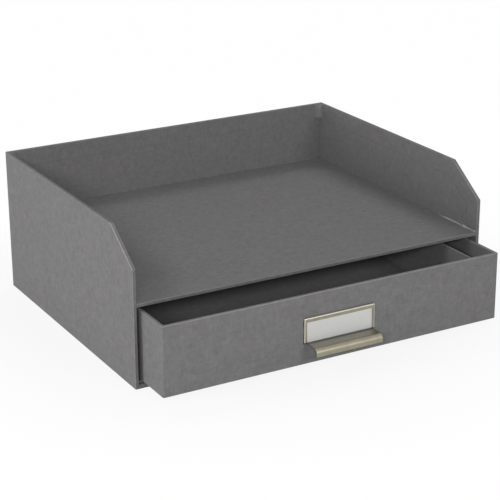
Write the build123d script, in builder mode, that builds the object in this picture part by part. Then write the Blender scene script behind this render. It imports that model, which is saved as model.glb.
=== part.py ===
from build123d import *

import os
from math import hypot

# An open tray for letters and envelopes, standing over one shallow drawer.
# Casing and drawer are boxes of grey board: the boards are glued edge to edge, covered outside
# with one sheet of linen-finish paper that is folded over every free edge, and lined inside.
# Millimetres. +X to the right, +Y to the back, +Z up. The origin is the middle of the underside.

# Sheet stock
cover_paper = 0.25            # paper of the covers and the linings
wall_board = 2.5              # walls of casing and drawer, shelf and drawer bottom
base_board_thickness = 3.0    # board that the casing stands on
bay_card = 2.0                # card glued in for the drawer to run on
insert_card = 0.5             # card of the drawer's folded insert
turn_in = 15.0                # how far the outer paper is folded down inside
paper_joint = 0.3             # hairline left between a folded edge and the lining
fold_radius = 0.6             # paper folded round the edge of a board
corner_bridge = 4.0           # folded edges run round the inner rear corners at this radius

# Casing
casing_width = 330.0
casing_depth = 258.0
casing_height = 127.0
corner_cut_back = 37.5        # the front top corners are cut off: this far back
corner_cut_down = 26.5        # and this far down
shelf_height = 71.6           # tray floor above the table
bay_floor_setback = 3.0       # the running card stops short of the front edge

# Drawer
drawer_out = 35.5             # how far it stands open
drawer_side_gap = 3.5         # to the lined wall of the bay, each side
drawer_top_gap = 3.6          # to the underside of the shelf
drawer_back_gap = 3.0         # behind the drawer when it is shut
running_gap = 0.3             # between drawer and running card
drawer_corner_radius = 1.2    # paper folded round the drawer's upright corners
narrow_compartment = 23.0     # clear width to the right of the partition
insert_rise = 15.2            # main compartment's floor above the drawer's own
insert_foot = 10.0            # paper of the insert glued down in the narrow compartment

# Label holder: one stamping, whose window metal is bent forward and curled down as the pull
holder_width = 67.0
holder_height = 22.3
holder_above_drawer_edge = 17.4
holder_depth = 1.9            # frame stands off the drawer front
holder_sheet = 0.7
holder_corner_radius = 1.0
side_border = 2.2
top_border = 3.5
bottom_border = 1.3
pull_reach = 17.3             # pull stands out from the drawer front
pull_drop = 6.8               # from the pull's top to its free edge
pull_bend_radius = 4.8        # outside of the curl
pull_root_radius = 0.6        # rounding where the metal turns forward at the window's lower edge
pull_corner_radius = 1.4
pull_edge_radius = 0.25
prong_width = 4.0
prong_spacing = 11.0
prong_length = 5.0            # clinched part, flat inside the drawer front
prong_play = 0.35             # slot round a prong

# Label card
card_thickness = 0.35
card_play = 0.35              # behind the card and below it
card_side_play = 0.4
card_below_top = 0.8          # card's upper edge under the top of the holder

# Planes and faces shared by the pieces
half_width = casing_width / 2
front = -casing_depth / 2
back = casing_depth / 2
wall = wall_board + 2 * cover_paper
inner_half = half_width - wall
inner_back = back - wall
board_half = half_width - cover_paper
board_inner_half = board_half - wall_board
board_inner_back = back - cover_paper - wall_board
base_top = cover_paper + base_board_thickness
bay_floor = base_top + bay_card + cover_paper
shelf_underside = shelf_height - wall

drawer_front = front - drawer_out
drawer_depth = inner_back - front - drawer_back_gap
drawer_back = drawer_front + drawer_depth
drawer_middle = (drawer_front + drawer_back) / 2
drawer_half = inner_half - drawer_side_gap
drawer_width = 2 * drawer_half
drawer_bottom = bay_floor + running_gap
drawer_top = shelf_underside - drawer_top_gap
drawer_height = drawer_top - drawer_bottom
drawer_board_top = drawer_bottom + cover_paper + wall_board
drawer_floor = drawer_board_top + cover_paper
drawer_inner_width = drawer_width - 2 * wall
drawer_inner_depth = drawer_depth - 2 * wall


def wall_outline(inset, foot, rear):
    """Side view of a casing wall, its front, cut corner and top drawn in by inset."""
    slant = hypot(corner_cut_back, corner_cut_down)
    low_corner = casing_height - corner_cut_down - inset * (slant - corner_cut_down) / corner_cut_back
    high_corner = front + corner_cut_back + inset * (slant - corner_cut_back) / corner_cut_down
    return [
        (front + inset, foot),
        (front + inset, low_corner),
        (high_corner, casing_height - inset),
        (rear, casing_height - inset),
        (rear, foot),
    ]


# Casing: the base board, with the walls standing on it
with BuildPart() as base_board:
    with BuildSketch(Plane.XY.offset(cover_paper)):
        Rectangle(2 * board_half, casing_depth - 2 * cover_paper)
    extrude(amount=base_board_thickness)

with BuildPart() as side_board_right:
    with BuildSketch(Plane.YZ.offset(board_inner_half)):
        with BuildLine():
            Polyline(wall_outline(cover_paper, base_top, back - cover_paper), close=True)
        make_face()
    extrude(amount=wall_board)

with BuildPart() as side_board_left:
    add(side_board_right.part)
    mirror(about=Plane.YZ, mode=Mode.REPLACE)

with BuildPart() as back_board:
    with BuildSketch(Plane.XY.offset(base_top)):
        with Locations((0, board_inner_back)):
            Rectangle(2 * board_inner_half, wall_board, align=(Align.CENTER, Align.MIN))
    extrude(amount=casing_height - cover_paper - base_top)

# Shelf: the tray's floor, glued between the walls over the drawer bay
with BuildPart() as shelf_board:
    with BuildSketch(Plane.XY.offset(shelf_underside + cover_paper)):
        with Locations((0, front + cover_paper)):
            Rectangle(2 * inner_half, inner_back - front - cover_paper, align=(Align.CENTER, Align.MIN))
    extrude(amount=wall_board)

# Running card: a thinner card glued on the base inside the bay
with BuildPart() as bay_floor_card:
    with BuildSketch(Plane.XY.offset(base_top)):
        with Locations((0, front + bay_floor_setback + cover_paper)):
            Rectangle(
                2 * inner_half,
                inner_back - front - bay_floor_setback - cover_paper,
                align=(Align.CENTER, Align.MIN),
            )
    extrude(amount=bay_card)

# Outer paper: one sheet round left wall, back and right wall, folded over the top, the cut
# corners and the front edges, and glued down inside
with BuildPart() as outer_wrap:
    with BuildSketch(Plane.XY.offset(cover_paper)):
        Rectangle(casing_width, casing_depth)
        with Locations((0, front)):
            Rectangle(
                2 * inner_half, inner_back - front, align=(Align.CENTER, Align.MIN), mode=Mode.SUBTRACT
            )
    extrude(amount=casing_height - cover_paper)
    with BuildSketch(Plane.YZ):
        with BuildLine():
            Polyline(
                (front, casing_height),
                (front, casing_height - corner_cut_down),
                (front + corner_cut_back, casing_height),
                close=True,
            )
        make_face()
    extrude(amount=half_width, both=True, mode=Mode.SUBTRACT)
    fillet(outer_wrap.edges().filter_by(Axis.Z).group_by(Axis.Y)[-2], radius=corner_bridge)
    foot_edges = outer_wrap.edges().group_by(Axis.Z)[0]
    round_edges = outer_wrap.edges().filter_by(Axis.Z).group_by(Axis.Y)[1:-1]
    seam_edges = [edge for group in round_edges for edge in group]
    fillet(outer_wrap.edges() - foot_edges - seam_edges, radius=fold_radius)
    add([base_board.part, side_board_left.part, side_board_right.part, back_board.part], mode=Mode.SUBTRACT)
    with BuildSketch(Plane.YZ):
        with BuildLine():
            Polyline(wall_outline(turn_in, cover_paper, board_inner_back), close=True)
        make_face()
    extrude(amount=board_inner_half, both=True, mode=Mode.SUBTRACT)

# Lining: one sheet inside the walls, from the base board up to the folded edge of the outer paper
with BuildPart() as wall_lining:
    with BuildSketch(Plane.YZ):
        with BuildLine():
            Polyline(wall_outline(turn_in + paper_joint, base_top, board_inner_back), close=True)
        make_face()
    extrude(amount=board_inner_half, both=True)
    with BuildSketch(Plane.XY.offset(base_top)):
        with Locations((0, front)):
            Rectangle(2 * inner_half, inner_back - front, align=(Align.CENTER, Align.MIN))
    extrude(amount=casing_height, mode=Mode.SUBTRACT)

# Shelf paper: over the top, round the front edge and a turn-in below
with BuildPart() as shelf_cover:
    with BuildSketch(Plane.XY.offset(shelf_underside)):
        with Locations((0, front)):
            Rectangle(2 * inner_half, inner_back - front, align=(Align.CENTER, Align.MIN))
    extrude(amount=wall)
    fillet(shelf_cover.edges().filter_by(Axis.X).group_by(Axis.Y)[0], radius=fold_radius)
    add(shelf_board.part, mode=Mode.SUBTRACT)
    with BuildSketch(Plane.XY.offset(shelf_underside)):
        with Locations((0, front + turn_in)):
            Rectangle(2 * inner_half, inner_back - front - turn_in, align=(Align.CENTER, Align.MIN))
    extrude(amount=cover_paper, mode=Mode.SUBTRACT)

# Paper on the running card: over its top and down its front edge
with BuildPart() as bay_floor_cover:
    with BuildSketch(Plane.XY.offset(base_top)):
        with Locations((0, front + bay_floor_setback)):
            Rectangle(
                2 * inner_half, inner_back - front - bay_floor_setback, align=(Align.CENTER, Align.MIN)
            )
    extrude(amount=bay_card + cover_paper)
    add(bay_floor_card.part, mode=Mode.SUBTRACT)

# Base paper: the whole underside, up the base board's front edge between the walls and on to the
# running card
with BuildPart() as base_cover:
    with BuildSketch():
        Rectangle(casing_width, casing_depth)
    extrude(amount=cover_paper)
    with BuildSketch(Plane.XY.offset(cover_paper)):
        with Locations((0, front)):
            Rectangle(2 * inner_half, bay_floor_setback, align=(Align.CENTER, Align.MIN))
    extrude(amount=base_board_thickness + cover_paper)
    fillet(
        base_cover.edges().filter_by(Axis.X).group_by(Axis.Z)[-1].sort_by(Axis.Y)[0],
        radius=fold_radius,
    )
    add(base_board.part, mode=Mode.SUBTRACT)

# Drawer: front and back boards run the full width, with the side boards between them
drawer_board_half = drawer_half - cover_paper
drawer_end_width = 2 * drawer_board_half
drawer_side_length = drawer_depth - 2 * cover_paper - 2 * wall_board
drawer_board_height = drawer_height - 2 * cover_paper

holder_foot = drawer_bottom + holder_above_drawer_edge
holder_middle = holder_foot + holder_height / 2
prong_x = holder_width / 2 - holder_sheet / 2
prong_levels = [holder_middle - prong_spacing / 2, holder_middle + prong_spacing / 2]
prong_places = [(side * prong_x, level) for side in (-1, 1) for level in prong_levels]

with BuildPart() as prong_slots:
    with BuildSketch(Plane.XZ.offset(-drawer_front)):
        with Locations(*prong_places):
            Rectangle(holder_sheet + 2 * prong_play, prong_width + 2 * prong_play)
    extrude(amount=-wall)

with BuildPart() as drawer_front_board:
    with BuildSketch(Plane.XY.offset(drawer_bottom + cover_paper)):
        with Locations((0, drawer_front + cover_paper)):
            Rectangle(drawer_end_width, wall_board, align=(Align.CENTER, Align.MIN))
    extrude(amount=drawer_board_height)
    fillet(
        drawer_front_board.edges().filter_by(Axis.Z).group_by(Axis.Y)[0],
        radius=drawer_corner_radius - cover_paper,
    )
    add(prong_slots.part, mode=Mode.SUBTRACT)

with BuildPart() as drawer_back_board:
    with BuildSketch(Plane.XY.offset(drawer_bottom + cover_paper)):
        with Locations((0, drawer_back - cover_paper)):
            Rectangle(drawer_end_width, wall_board, align=(Align.CENTER, Align.MAX))
    extrude(amount=drawer_board_height)
    fillet(
        drawer_back_board.edges().filter_by(Axis.Z).group_by(Axis.Y)[-1],
        radius=drawer_corner_radius - cover_paper,
    )

with BuildPart() as drawer_side_board_right:
    with BuildSketch(Plane.XY.offset(drawer_bottom + cover_paper)):
        with Locations((drawer_board_half, drawer_middle)):
            Rectangle(wall_board, drawer_side_length, align=(Align.MAX, Align.CENTER))
    extrude(amount=drawer_board_height)

with BuildPart() as drawer_side_board_left:
    add(drawer_side_board_right.part)
    mirror(about=Plane.YZ, mode=Mode.REPLACE)

with BuildPart() as drawer_bottom_board:
    with BuildSketch(Plane.XY.offset(drawer_bottom + cover_paper)):
        with Locations((0, drawer_middle)):
            Rectangle(drawer_end_width - 2 * wall_board, drawer_side_length)
    extrude(amount=wall_board)

# Drawer paper: round the four walls, over their top edges and down inside
with BuildPart() as drawer_wrap:
    with BuildSketch(Plane.XY.offset(drawer_bottom + cover_paper)):
        with Locations((0, drawer_middle)):
            RectangleRounded(drawer_width, drawer_depth, drawer_corner_radius)
            Rectangle(drawer_inner_width, drawer_inner_depth, mode=Mode.SUBTRACT)
    extrude(amount=drawer_height - cover_paper)
    fillet(drawer_wrap.edges().group_by(Axis.Z)[-1], radius=fold_radius)
    add(
        [
            drawer_front_board.part,
            drawer_back_board.part,
            drawer_side_board_left.part,
            drawer_side_board_right.part,
            drawer_bottom_board.part,
            prong_slots.part,
        ],
        mode=Mode.SUBTRACT,
    )
    with BuildSketch(Plane.XY.offset(drawer_bottom + cover_paper)):
        with Locations((0, drawer_middle)):
            Rectangle(drawer_end_width - 2 * wall_board, drawer_side_length)
    extrude(amount=drawer_height - cover_paper - turn_in, mode=Mode.SUBTRACT)

with BuildPart() as drawer_lining:
    with BuildSketch(Plane.XY.offset(drawer_board_top)):
        with Locations((0, drawer_middle)):
            Rectangle(drawer_end_width - 2 * wall_board, drawer_side_length)
            Rectangle(drawer_inner_width, drawer_inner_depth, mode=Mode.SUBTRACT)
    extrude(amount=drawer_top - turn_in - paper_joint - drawer_board_top)
    add(prong_slots.part, mode=Mode.SUBTRACT)

with BuildPart() as drawer_floor_paper:
    with BuildSketch(Plane.XY.offset(drawer_board_top)):
        with Locations((0, drawer_middle)):
            Rectangle(drawer_inner_width, drawer_inner_depth)
    extrude(amount=cover_paper)

with BuildPart() as drawer_base_cover:
    with BuildSketch(Plane.XY.offset(drawer_bottom)):
        with Locations((0, drawer_middle)):
            RectangleRounded(drawer_width, drawer_depth, drawer_corner_radius)
    extrude(amount=cover_paper)

# Insert: one sheet of thin card folded into the raised floor of the main compartment and, doubled,
# into the partition beside it. Its paper covers the floor, runs over the partition and ends in a
# foot on the drawer's own floor.
insert_left = -drawer_inner_width / 2
insert_floor = drawer_floor + insert_rise
divider_right = drawer_inner_width / 2 - narrow_compartment
divider_left = divider_right - 2 * insert_card - 2 * cover_paper

with BuildPart() as divider_board:
    with BuildSketch(Plane.XZ.offset(-drawer_middle)):
        with Locations((insert_left, drawer_floor)):
            Rectangle(
                divider_right - cover_paper - insert_left,
                insert_rise - cover_paper,
                align=(Align.MIN, Align.MIN),
            )
        with Locations((insert_left + insert_card, drawer_floor)):
            Rectangle(
                divider_right - cover_paper - insert_left - 2 * insert_card,
                insert_rise - cover_paper - insert_card,
                align=(Align.MIN, Align.MIN),
                mode=Mode.SUBTRACT,
            )
        with Locations((divider_right - cover_paper, insert_floor - cover_paper)):
            Rectangle(2 * insert_card, drawer_top - insert_floor, align=(Align.MAX, Align.MIN))
    extrude(amount=drawer_inner_depth / 2, both=True)

with BuildPart() as divider_cover:
    with BuildSketch(Plane.XZ.offset(-drawer_middle)):
        with Locations((insert_left, insert_floor - cover_paper)):
            Rectangle(divider_left - insert_left, cover_paper, align=(Align.MIN, Align.MIN))
        with Locations((divider_right, drawer_floor)):
            Rectangle(
                divider_right - divider_left, drawer_top - drawer_floor, align=(Align.MAX, Align.MIN)
            )
            Rectangle(insert_foot, cover_paper, align=(Align.MIN, Align.MIN))
    extrude(amount=drawer_inner_depth / 2, both=True)
    fillet(divider_cover.edges().filter_by(Axis.Y).group_by(Axis.Z)[-1], radius=fold_radius)
    add(divider_board.part, mode=Mode.SUBTRACT)
    with BuildSketch(Plane.XZ.offset(-drawer_middle)):
        with Locations((insert_left, drawer_floor)):
            Rectangle(
                divider_right - cover_paper - insert_left,
                insert_rise - cover_paper,
                align=(Align.MIN, Align.MIN),
            )
    extrude(amount=drawer_inner_depth / 2, both=True, mode=Mode.SUBTRACT)

# Label holder: stamped frame open at its top edge, where the card slides in behind it
window_width = holder_width - 2 * side_border
window_height = holder_height - top_border - bottom_border
window_foot = holder_foot + bottom_border

with BuildPart() as label_holder:
    with BuildSketch(Plane.XZ.offset(-drawer_front)):
        with Locations((0, holder_middle)):
            RectangleRounded(holder_width, holder_height, holder_corner_radius)
    extrude(amount=holder_depth)
    fillet(label_holder.faces().sort_by(Axis.Y)[0].edges(), radius=holder_corner_radius)
    with BuildSketch(Plane.XZ.offset(-drawer_front)):
        with Locations((0, holder_foot + holder_sheet)):
            Rectangle(
                holder_width - 2 * holder_sheet, holder_height, align=(Align.CENTER, Align.MIN)
            )
    extrude(amount=holder_depth - holder_sheet, mode=Mode.SUBTRACT)
    with BuildSketch(Plane.XZ.offset(-drawer_front)):
        with Locations((0, window_foot - holder_sheet)):
            Rectangle(window_width, window_height + holder_sheet, align=(Align.CENTER, Align.MIN))
    extrude(amount=holder_depth, mode=Mode.SUBTRACT)
    # the pull: the metal of the window, bent forward at its lower edge and curled down
    with BuildSketch(Plane.YZ) as pull_side:
        with BuildLine():
            run = Line(
                (drawer_front - holder_depth + holder_sheet, window_foot - holder_sheet / 2),
                (drawer_front - pull_reach + pull_bend_radius, window_foot - holder_sheet / 2),
            )
            curl = JernArc(run @ 1, (-1, 0), pull_bend_radius - holder_sheet / 2, 90)
            Line(curl @ 1, ((curl @ 1).X, window_foot - pull_drop))
        trace(line_width=holder_sheet)
        fillet(pull_side.vertices().group_by(Axis.X)[-1].sort_by(Axis.Y)[-1], radius=pull_root_radius)
    extrude(amount=window_width / 2, both=True)
    fillet(label_holder.edges().filter_by(Axis.Y).group_by(Axis.Z)[0], radius=pull_corner_radius)
    fillet(label_holder.faces().sort_by(Axis.Z)[0].edges().filter_by(Axis.X), radius=pull_edge_radius)
    # four prongs through the drawer front, clinched towards the middle
    for level in prong_levels:
        with BuildSketch(Plane.XY.offset(level - prong_width / 2)):
            for side in (-1, 1):
                with BuildLine():
                    FilletPolyline(
                        (side * prong_x, drawer_front),
                        (side * prong_x, drawer_front + wall + holder_sheet / 2),
                        (side * (prong_x - prong_length), drawer_front + wall + holder_sheet / 2),
                        radius=holder_sheet,
                    )
                trace(line_width=holder_sheet)
        extrude(amount=prong_width)

card_foot = holder_foot + holder_sheet + card_play
card_top = holder_foot + holder_height - card_below_top

with BuildPart() as label_card:
    with BuildSketch(Plane.XZ.offset(card_play - drawer_front)):
        with Locations((0, card_foot)):
            Rectangle(
                holder_width - 2 * holder_sheet - 2 * card_side_play,
                card_top - card_foot,
                align=(Align.CENTER, Align.MIN),
            )
    extrude(amount=card_thickness)

pieces = {
    "base_board": base_board,
    "side_board_left": side_board_left,
    "side_board_right": side_board_right,
    "back_board": back_board,
    "shelf_board": shelf_board,
    "bay_floor_card": bay_floor_card,
    "outer_wrap": outer_wrap,
    "wall_lining": wall_lining,
    "shelf_cover": shelf_cover,
    "bay_floor_cover": bay_floor_cover,
    "base_cover": base_cover,
    "drawer_front_board": drawer_front_board,
    "drawer_back_board": drawer_back_board,
    "drawer_side_board_left": drawer_side_board_left,
    "drawer_side_board_right": drawer_side_board_right,
    "drawer_bottom_board": drawer_bottom_board,
    "drawer_wrap": drawer_wrap,
    "drawer_lining": drawer_lining,
    "drawer_floor_paper": drawer_floor_paper,
    "drawer_base_cover": drawer_base_cover,
    "divider_board": divider_board,
    "divider_cover": divider_cover,
    "label_holder": label_holder,
    "label_card": label_card,
}

os.makedirs("parts", exist_ok=True)
for name, piece in pieces.items():
    piece.part.label = name
    export_step(piece.part, f"parts/{name}.step")
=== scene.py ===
import math

import bmesh
import bpy
from mathutils import Euler, Matrix, Vector


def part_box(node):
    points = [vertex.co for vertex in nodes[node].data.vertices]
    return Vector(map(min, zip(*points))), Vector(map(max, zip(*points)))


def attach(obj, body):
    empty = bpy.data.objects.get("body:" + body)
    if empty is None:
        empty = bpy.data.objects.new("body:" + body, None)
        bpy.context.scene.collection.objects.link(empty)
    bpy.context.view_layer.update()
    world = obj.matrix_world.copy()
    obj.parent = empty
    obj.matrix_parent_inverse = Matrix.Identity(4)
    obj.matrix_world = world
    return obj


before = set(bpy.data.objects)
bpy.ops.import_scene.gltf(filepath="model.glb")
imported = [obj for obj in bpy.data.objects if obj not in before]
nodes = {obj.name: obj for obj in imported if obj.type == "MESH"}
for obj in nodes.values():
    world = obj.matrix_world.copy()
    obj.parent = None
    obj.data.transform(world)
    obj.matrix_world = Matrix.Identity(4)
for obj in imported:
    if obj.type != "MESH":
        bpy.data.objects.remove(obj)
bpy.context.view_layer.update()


# ---- Boards --------------------------------------------------------------------------------------
# Casing, shelf and drawer are grey bookbinding board, pressed from waste paper: grey-brown pulp with
# dark and pale fibres in it. Only the slots for the holder's prongs leave any of it bare.

MM = 0.001


class Wire:
    """What runs along one wire of a material's node tree; sums on it are written as in Python."""

    def __init__(self, tree, socket=None):
        self.tree = tree
        self.socket = socket

    def node(self, kind, settings=None, inputs=None, output=0):
        made = self.tree.nodes.new(kind)
        for name, value in (settings or {}).items():
            if name == "stops":
                stops = made.color_ramp.elements
                while len(stops) < len(value):
                    stops.new(1.0)
                for stop, (position, colour) in zip(stops, value):
                    stop.position = position
                    stop.color = (*colour, 1.0)
            else:
                setattr(made, name, value)
        for name, value in (inputs or {}).items():
            if isinstance(value, Wire):
                self.tree.links.new(value.socket, made.inputs[name])
            else:
                made.inputs[name].default_value = value
        return Wire(self.tree, made.outputs[output])

    def _sum(self, operation, first, second):
        pair = (first, second)
        if any(isinstance(one, Wire) and one.socket.type == "VECTOR" for one in pair):
            pair = [(one,) * 3 if isinstance(one, (int, float)) else one for one in pair]
            return self.node("ShaderNodeVectorMath", {"operation": operation}, dict(enumerate(pair)))
        return self.node("ShaderNodeMath", {"operation": operation}, dict(enumerate(pair)))

    def __add__(self, other):
        return self._sum("ADD", self, other)

    def __sub__(self, other):
        return self._sum("SUBTRACT", self, other)

    def __rsub__(self, other):
        return self._sum("SUBTRACT", other, self)

    def __mul__(self, other):
        return self._sum("MULTIPLY", self, other)

    __radd__ = __add__
    __rmul__ = __mul__

    def noise(self, size, detail=2.0, roughness=0.5):
        """Noise about 0, between -1 and 1, whose features are size across: one length, or one along
        each of X, Y and Z."""
        sizes = size if isinstance(size, tuple) else (size,) * 3
        spread = self * tuple(1 / length for length in sizes)
        found = self.node(
            "ShaderNodeTexNoise",
            inputs={"Vector": spread, "Scale": 1.0, "Detail": detail, "Roughness": roughness},
        )
        return found * 2.0 - 1.0

    def axes(self):
        """The X, Y and Z of a place, as three wires."""
        return [
            self.node("ShaderNodeSeparateXYZ", inputs={"Vector": self}, output=number)
            for number in range(3)
        ]

    def __abs__(self):
        return self.node("ShaderNodeMath", {"operation": "ABSOLUTE"}, {0: self})

    def least(self, *others):
        """The smallest of this and the others."""
        found = self
        for other in others:
            found = found._sum("MINIMUM", found, other)
        return found

    def most(self, *others):
        """The largest of this and the others."""
        found = self
        for other in others:
            found = found._sum("MAXIMUM", found, other)
        return found

    def between(self, low, high):
        """0 below low, 1 above high, and smooth between them."""
        return self.node(
            "ShaderNodeMapRange",
            {"interpolation_type": "SMOOTHSTEP"},
            {"Value": self, "From Min": low, "From Max": high},
        )

    def mix(self, first, second):
        """The colour first where this is 0, and second where it is 1."""
        colours = [(*one, 1.0) if isinstance(one, tuple) else one for one in (first, second)]
        made = self.tree.nodes.new("ShaderNodeMix")
        made.data_type = "RGBA"
        self.tree.links.new(self.socket, made.inputs[0])
        for socket, colour in zip((made.inputs[6], made.inputs[7]), colours):
            if isinstance(colour, Wire):
                self.tree.links.new(colour.socket, socket)
            else:
                socket.default_value = colour
        return Wire(self.tree, made.outputs[2])


def new_finish(name):
    """A material with an empty shader, and the wire of the places on its piece."""
    material = bpy.data.materials.new(name)
    material.use_nodes = True
    shader = material.node_tree.nodes["Principled BSDF"]
    place = Wire(material.node_tree).node("ShaderNodeTexCoord", output="Object")
    return material, shader, place


def connect(shader, **inputs):
    """Sets the shader's sockets, each named with _ for its spaces, to numbers, colours or wires."""
    for name, value in inputs.items():
        socket = shader.inputs[name.replace("_", " ")]
        if isinstance(value, Wire):
            value.tree.links.new(value.socket, socket)
        else:
            socket.default_value = (*value, 1.0) if isinstance(value, tuple) else value


def coat(names, material):
    """Gives each of these CAD nodes the material."""
    for name in names:
        materials = nodes[name].data.materials
        materials.clear()
        materials.append(material)


def greyboard_finish():
    pulp, dark_pulp = (0.26, 0.245, 0.225), (0.22, 0.21, 0.195)
    dark_fibre = (0.12, 0.11, 0.10)
    material, shader, place = new_finish("greyboard")
    fibres = place.noise((2.5 * MM, 0.3 * MM, 0.4 * MM), detail=3.0)
    cloud = place.noise(6 * MM)
    clouded = cloud.between(-0.6, 0.6).mix(pulp, dark_pulp)
    colour = fibres.between(0.15, 0.7).mix(clouded, dark_fibre)
    bump = fibres.node("ShaderNodeBump", inputs={"Height": fibres, "Distance": 0.05 * MM})
    connect(shader, Base_Color=colour, Roughness=0.9, Normal=bump)
    return material


coat(
    ["base_board", "side_board_left", "side_board_right", "back_board", "shelf_board",
     "bay_floor_card", "drawer_front_board", "drawer_back_board", "drawer_side_board_left",
     "drawer_side_board_right", "drawer_bottom_board", "divider_board"],
    greyboard_finish(),
)


# ---- Covering paper ------------------------------------------------------------------------------
# Casing and drawer are covered in mid-grey paper with a linen finish: a weave of fine raised threads
# pressed into it, a little uneven, so that the grey is mottled and leans now to brown, now to green.
# Where it is folded over the edge of a board, a painted highlight makes a pale line in the colour,
# and on some edges painted shade darkens the face between.

wall = 3.0 * MM
fold_width = 0.6 * MM


def painted_fold_light(depth, across, painted_highlight, painted_shade):
    """Painted light on a board's free edge: a painted highlight along both of its folded corners,
    and painted shade on the face between them, each by the amount given. depth is the distance in
    from that edge, and across the distance from the middle of the board."""
    near_edge = 1.0 - depth.between(fold_width * 0.5, fold_width * 1.5)
    near_face = across.between(wall / 2 - fold_width * 1.3, wall / 2 - fold_width * 0.5)
    on_board = 1.0 - across.between(wall / 2 + 0.1 * MM, wall / 2 + 0.3 * MM)
    return near_edge * on_board * (near_face * (painted_highlight + painted_shade) - painted_shade)


def casing_painted_light(x, y, z):
    """Painted light on the casing's folded edges: round the side walls, with the painted highlight
    strongest on the slanted corners and stronger on the left, where the light falls, and painted
    shade on the other edge faces; along the back wall; and along the front of the shelf, with
    painted shade on its front face."""
    low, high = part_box("outer_wrap")
    shelf_low, shelf_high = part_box("shelf_cover")
    cut_back, cut_down = 37.5 * MM, 26.5 * MM
    slant_length = math.hypot(cut_back, cut_down)
    front_depth = y - low[1]
    top_depth = high[2] - z
    slant_depth = front_depth * (cut_down / slant_length) + top_depth * (cut_back / slant_length)
    slant_depth = slant_depth - cut_back * cut_down / slant_length
    depth = front_depth.least(top_depth, slant_depth)
    on_slant = 1.0 - (slant_depth - depth).between(0.0, 1 * MM)
    on_left = 1.0 - x.between(-0.1, 0.1)
    # Painted highlight: strongest on the slanted corners and stronger on the left, where the light
    # falls; painted shade on the side walls' other edge faces.
    painted_highlight = (on_slant * 0.55 + 0.15) * (on_left * 0.6 + 0.4)
    sides = painted_fold_light(depth, abs(abs(x) - (high[0] - wall / 2)), painted_highlight, (1.0 - on_slant) * 0.12)
    back = painted_fold_light(top_depth, abs(y - (high[1] - wall / 2)), 0.15, 0.0)
    between_walls = 1.0 - abs(x).between(shelf_high[0] - 0.5 * MM, shelf_high[0])
    # Painted highlight on the shelf's front top edge and painted shade on its front face.
    shelf = painted_fold_light(y - shelf_low[1], abs(z - (shelf_high[2] - wall / 2)), 0.15, 0.2) * between_walls
    return sides + back + shelf


def drawer_painted_light(x, y, z):
    """Painted highlight on the drawer's folded edges: along the top of its walls, the front most,
    and down its corners.
    """
    low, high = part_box("drawer_wrap")
    depth = high[2] - z
    front = painted_fold_light(depth, abs(y - (low[1] + wall / 2)), 0.5, 0.0)
    back = painted_fold_light(depth, abs(y - (high[1] - wall / 2)), 0.15, 0.0)
    sides = painted_fold_light(depth, abs(abs(x) - (high[0] - wall / 2)), 0.15, 0.0)
    corners = abs(x).between(high[0] - fold_width, high[0]) * (
        1.0 - (y - low[1]).between(0.0, fold_width)
    )
    return front.most(back, sides, corners * 0.2)


def linen_paper_finish(name, grey=0.213, painted_light=None):
    brown_lean = (1.025, 0.99, 1.0)
    green_lean = (0.985, 1.005, 0.995)
    thread = 0.45 * MM
    thread_run = 4 * MM
    slub = 1.3 * MM
    slub_run = 7 * MM
    material, shader, place = new_finish(name)
    threads = place.noise((thread, thread_run, thread_run), detail=1.0)
    threads = threads + place.noise((thread_run, thread, thread_run), detail=1.0)
    threads = threads + place.noise((thread_run, thread_run, thread), detail=1.0)
    slubs = place.noise((slub, slub_run, slub_run), detail=1.0)
    slubs = slubs + place.noise((slub_run, slub, slub_run), detail=1.0)
    slubs = slubs + place.noise((slub_run, slub_run, slub), detail=1.0)
    mottle = place.noise(3.2 * MM)
    cloud = place.noise(22 * MM, detail=3.0)
    lean = place.noise(30 * MM).between(-0.45, 0.45)
    shade = threads * 0.09 + slubs * 0.10 + mottle * 0.06 + cloud * 0.05 + 1.0
    # Painted highlights and painted shade along the folded edges, in the base colour.
    if painted_light:
        shade = shade + painted_light(*place.axes()) * (place.noise(9 * MM, detail=3.0) * 0.6 + 1.0)
    lean_colour = lean.mix(tuple(grey * c for c in brown_lean), tuple(grey * c for c in green_lean))
    colour = lean_colour.node(
        "ShaderNodeVectorMath", {"operation": "SCALE"}, {"Vector": lean_colour, "Scale": shade}
    )
    bump = threads.node(
        "ShaderNodeBump", inputs={"Height": threads + slubs * 0.6, "Distance": 0.035 * MM}
    )
    connect(
        shader,
        Base_Color=colour,
        Roughness=0.8 - threads * 0.06,
        Normal=bump,
        Specular_IOR_Level=0.2,
    )
    return material


coat(
    ["outer_wrap", "wall_lining", "shelf_cover", "bay_floor_cover", "base_cover"],
    linen_paper_finish("casing_linen_paper", painted_light=casing_painted_light),
)
coat(
    ["drawer_wrap", "drawer_lining", "drawer_floor_paper", "drawer_base_cover", "divider_cover"],
    linen_paper_finish("drawer_linen_paper", painted_light=drawer_painted_light),
)


# ---- Lifted paper --------------------------------------------------------------------------------
# The shelf's paper is cut a little wide and stands up against the right wall and the back in a low
# ridge; the ridge along the right wall is painted pale as a painted highlight. In both rear corners
# a flap of turned-in paper is glued over the bend.

sunk = 0.1 * MM
# Paper painted pale, a painted highlight, for the ridge along the right wall.
highlight_paper = linen_paper_finish("highlight_linen_paper", grey=0.46)
flap_paper = linen_paper_finish("flap_linen_paper", grey=0.235)


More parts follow.
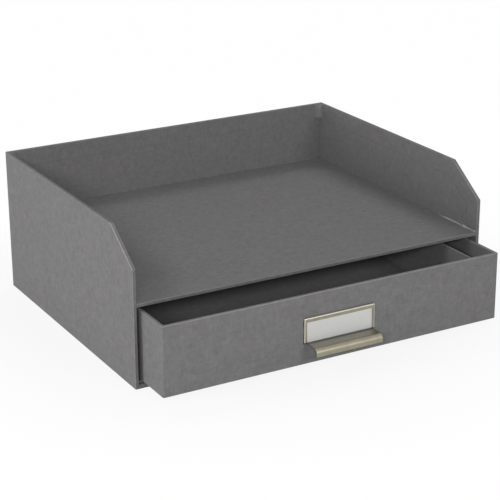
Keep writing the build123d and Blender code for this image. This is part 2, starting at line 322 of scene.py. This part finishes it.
def paper_piece(name, rings, finish):
    """A closed paper form through rings of places, capped at both ends."""
    mesh = bmesh.new()
    made = [[mesh.verts.new(place) for place in ring] for ring in rings]
    for ring, following in zip(made, made[1:]):
        for step in range(len(ring)):
            beside = (step + 1) % len(ring)
            side = mesh.faces.new((ring[step], ring[beside], following[beside], following[step]))
            side.smooth = True
    mesh.faces.new(made[0])
    mesh.faces.new(made[-1])
    bmesh.ops.recalc_face_normals(mesh, faces=mesh.faces)
    piece = bpy.data.objects.new(name, bpy.data.meshes.new(name))
    mesh.to_mesh(piece.data)
    mesh.free()
    piece.data.materials.append(finish)
    bpy.context.scene.collection.objects.link(piece)
    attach(piece, "casing")
    return piece


def ridge_ring(foot, out, rise):
    """The ridge's outline at one place: as wide as it is high, and sunk into wall and shelf."""
    upward = Vector((0, 0, 1))
    return [
        foot - out * sunk - upward * sunk,
        foot + out * rise - upward * sunk,
        foot + out * rise * 0.85 + upward * rise * 0.5,
        foot + out * rise * 0.5 + upward * rise * 0.85,
        foot - out * sunk + upward * rise,
    ]


shelf_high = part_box("shelf_cover")[1]
casing_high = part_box("outer_wrap")[1]
inner_side = shelf_high[0]
inner_back = casing_high[1] - wall

# (y, height of the ridge), in mm, from the front of the right wall back
side_rises = [
    (-127.5, 1.1), (-124, 0.7), (-120, 0.7), (-116, 1.0), (-113.5, 1.9), (-111, 1.9), (-108.5, 0.9),
    (-104, 0.8), (-98, 1.1), (-92, 1.3), (-87, 1.1), (-82, 0.7), (-77, 0.3), (-73, 0.15),
]
side_feet = [Vector((inner_side, y * MM, shelf_high[2])) for y, rise in side_rises]
paper_piece(
    "lifted_paper_side",
    [
        ridge_ring(foot, Vector((-1, 0, 0)), rise * MM)
        for foot, (y, rise) in zip(side_feet, side_rises)
    ],
    highlight_paper,
)

# (x, height of the ridge), in mm, from the right wall leftwards along the back
back_rises = [(161.5, 0.6), (155, 0.7), (148, 0.6), (141, 0.7), (134, 0.5), (127, 0.4), (119, 0.15)]
back_feet = [Vector((x * MM, inner_back, shelf_high[2])) for x, rise in back_rises]
paper_piece(
    "lifted_paper_back",
    [
        ridge_ring(foot, Vector((0, -1, 0)), rise * MM)
        for foot, (x, rise) in zip(back_feet, back_rises)
    ],
    flap_paper,
)

corner_bend = 4 * MM
flap_height = 14.6 * MM
flap_flat = 1.6 * MM
flap_turn = math.pi / 2
flap_steps = 8


def flap_ring(side, height, stand):
    """A flap's outline at one height: along the back wall, then round the bend of the corner."""
    middle = Vector((inner_side - corner_bend, inner_back - corner_bend, height))
    faces = []
    for bend in (corner_bend - stand, corner_bend + sunk):
        face = [middle + Vector((-flap_flat, bend, 0))]
        for step in range(flap_steps + 1):
            turn = flap_turn * (1 - 0.95 * step / flap_steps)
            face.append(middle + Vector((math.cos(turn) * bend, math.sin(turn) * bend, 0)))
        faces.append(face)
    return [Vector((place.x * side, place.y, place.z)) for place in faces[0] + faces[1][::-1]]


# (below the top of the walls, standing off the paper under it): the flap's lower edge has lifted
flap_stands = [
    (0.4 * MM, 0.3 * MM),
    (4 * MM, 0.35 * MM),
    (flap_height - 1 * MM, 0.5 * MM),
    (flap_height, 0.7 * MM),
]
for name, side in (("left", -1), ("right", 1)):
    paper_piece(
        f"corner_flap_{name}",
        [flap_ring(side, casing_high[2] - below, stand) for below, stand in flap_stands],
        flap_paper,
    )


# ---- Label holder --------------------------------------------------------------------------------
# One stamping of thin steel, plated with warm matt nickel. Its four prongs go through the drawer
# front and are clinched inside.

holder_sheet = 0.7 * MM
holder_depth = 1.9 * MM
pull_drop = 6.8 * MM


def nickel_finish():
    """Painted shade, nearly black, where the metal turns forward out of the window, and a painted
    highlight, pale, along the outer rims."""
    low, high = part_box("label_holder")
    frame_face = high[1] - holder_sheet - wall - holder_depth
    window_foot = low[2] + pull_drop
    plating, clouded = (0.29, 0.268, 0.20), (0.24, 0.22, 0.158)
    # The colours of the painted shade under the window and of the painted highlight on the rims.
    painted_shade_colour, painted_highlight = (0.05, 0.045, 0.03), (0.52, 0.50, 0.43)
    material, shader, place = new_finish("matt_nickel")
    x, y, z = place.axes()
    grain = place.noise((6 * MM, 0.25 * MM, 0.25 * MM), detail=3.0)
    stain = place.noise(7 * MM, detail=2.0)
    bump = grain.node("ShaderNodeBump", inputs={"Height": grain, "Distance": 0.01 * MM})
    from_rim = (high[0] - abs(x)).least(high[2] - z)
    rim = 1.0 - from_rim.between(0.5 * MM, 1.0 * MM)
    below_window = 1.0 - z.between(window_foot + 0.2 * MM, window_foot + 0.5 * MM)
    root = y.between(frame_face - 4.5 * MM, frame_face - 1.5 * MM)
    colour = stain.between(-0.5, 0.5).mix(clouded, plating)
    # Painted highlight on the outer rims.
    colour = rim.mix(colour, painted_highlight)
    # Painted shade where the metal turns forward below the window.
    colour = (root * below_window).mix(colour, painted_shade_colour)
    connect(
        shader,
        Base_Color=colour,
        Metallic=1.0,
        Roughness=0.38 + grain * 0.06,
        Normal=bump,
        Coat_Weight=0.7,
        Coat_Roughness=0.3,
    )
    return material


coat(["label_holder"], nickel_finish())


# ---- Label card ----------------------------------------------------------------------------------
# A plain card cut from smooth off-white stock, loose in the holder.

def card_finish():
    material, shader, place = new_finish("label_card_stock")
    pulp = place.noise(0.8 * MM, detail=3.0)
    bump = pulp.node("ShaderNodeBump", inputs={"Height": pulp, "Distance": 0.01 * MM})
    colour = pulp.between(-0.8, 0.8).mix((0.72, 0.72, 0.71), (0.78, 0.78, 0.77))
    connect(shader, Base_Color=colour, Roughness=0.7, Normal=bump)
    return material


coat(["label_card"], card_finish())


# ---- Studio --------------------------------------------------------------------------------------
# A white table in a white room. Two long soft lamps stand in front, so that light reaches under the
# shelf and into the drawer. Others stand low and high on the left, and high behind on the right.

camera = bpy.data.objects.new("camera", bpy.data.cameras.new("camera"))
camera.location = Vector((-645.7, -1164.2, 538.8)) * MM
camera_azimuth = math.radians(29.27)
camera_elevation = math.radians(20.31)
camera_roll = math.radians(0.35)
camera.rotation_euler = (
    Euler((math.pi / 2 - camera_elevation, 0, -camera_azimuth)).to_matrix()
    @ Matrix.Rotation(-camera_roll, 3, "Z")
).to_euler()
camera.data.sensor_width = 36
camera.data.lens = 115.4
camera.data.shift_x = 0.0082
camera.data.shift_y = -0.0036
camera.data.clip_end = 50
bpy.context.scene.collection.objects.link(camera)
bpy.context.scene.camera = camera


def soft_lamp(name, azimuth, elevation, width, height, power):
    """A soft box 2 m from the object's middle: azimuth 0 is in front, 90 on the left."""
    turn, rise = math.radians(azimuth), math.radians(elevation)
    towards = Vector(
        (-math.sin(turn) * math.cos(rise), -math.cos(turn) * math.cos(rise), math.sin(rise))
    )
    light = bpy.data.lights.new(name, "AREA")
    light.shape = "RECTANGLE"
    light.size = width
    light.size_y = height
    light.energy = power
    lamp = bpy.data.objects.new(name, light)
    lamp.location = Vector((0, 0, 0.06)) + 2.0 * towards
    lamp.rotation_euler = (-towards).to_track_quat("-Z", "Y").to_euler()
    lamp.visible_camera = False
    bpy.context.scene.collection.objects.link(lamp)


soft_lamp("front_lamp", -12, 25, 0.8, 0.25, 8.1)
soft_lamp("front_left_lamp", 35, 21, 0.8, 0.18, 10.2)
soft_lamp("low_left_lamp", 100, 5, 0.9, 0.4, 10.3)
soft_lamp("high_left_lamp", 85, 42, 0.9, 0.5, 6.8)
soft_lamp("back_right_lamp", -140, 55, 0.9, 0.5, 7.7)


def seen_white(tree, shader_socket, seen_by_camera):
    """Mixes plain white light into a shader: all of it for reflections, and for the camera by
    seen_by_camera."""
    rays = tree.nodes.new("ShaderNodeLightPath")
    seen = Wire(tree, rays.outputs["Is Camera Ray"]) * seen_by_camera
    for kind in ("Is Glossy Ray", "Is Transmission Ray"):
        seen = seen.node(
            "ShaderNodeMath", {"operation": "MAXIMUM"}, {0: seen, 1: Wire(tree, rays.outputs[kind])}
        )
    white = seen.node("ShaderNodeEmission", inputs={"Color": (1, 1, 1, 1), "Strength": 1.0})
    return seen.node("ShaderNodeMixShader", inputs={0: seen, 1: shader_socket, 2: white})


table_half = 6.0
floor = bpy.data.objects.new("floor", bpy.data.meshes.new("floor"))
floor.data.from_pydata(
    [(x * table_half, y * table_half, 0) for x, y in ((-1, -1), (1, -1), (1, 1), (-1, 1))],
    [],
    [(0, 1, 2, 3)],
)
bpy.context.scene.collection.objects.link(floor)
table_paint = bpy.data.materials.new("table_paint")
table_paint.use_nodes = True
table_tree = table_paint.node_tree
table_shader = table_tree.nodes["Principled BSDF"]
connect(table_shader, Base_Color=(0.95, 0.95, 0.95), Roughness=0.9, Specular_IOR_Level=0.1)
table_place = Wire(table_tree).node("ShaderNodeTexCoord", output="Object")
from_object = table_place.node(
    "ShaderNodeVectorMath", {"operation": "LENGTH"}, {0: table_place}, output="Value"
)
table_share = from_object.between(0.17, 0.34) * 0.11 + 0.88
table_seen = seen_white(table_tree, Wire(table_tree, table_shader.outputs[0]), table_share)
table_tree.links.new(table_seen.socket, table_tree.nodes["Material Output"].inputs["Surface"])
floor.data.materials.append(table_paint)

room = bpy.data.worlds.new("room")
bpy.context.scene.world = room
room.use_nodes = True
room_tree = room.node_tree
room_light = room_tree.nodes["Background"]
room_light.inputs["Color"].default_value = (1, 1, 1, 1)
room_light.inputs["Strength"].default_value = 0.12
room_seen = seen_white(room_tree, Wire(room_tree, room_light.outputs[0]), 1.0)
room_tree.links.new(room_seen.socket, room_tree.nodes["World Output"].inputs["Surface"])

bpy.context.scene.view_settings.view_transform = "Standard"
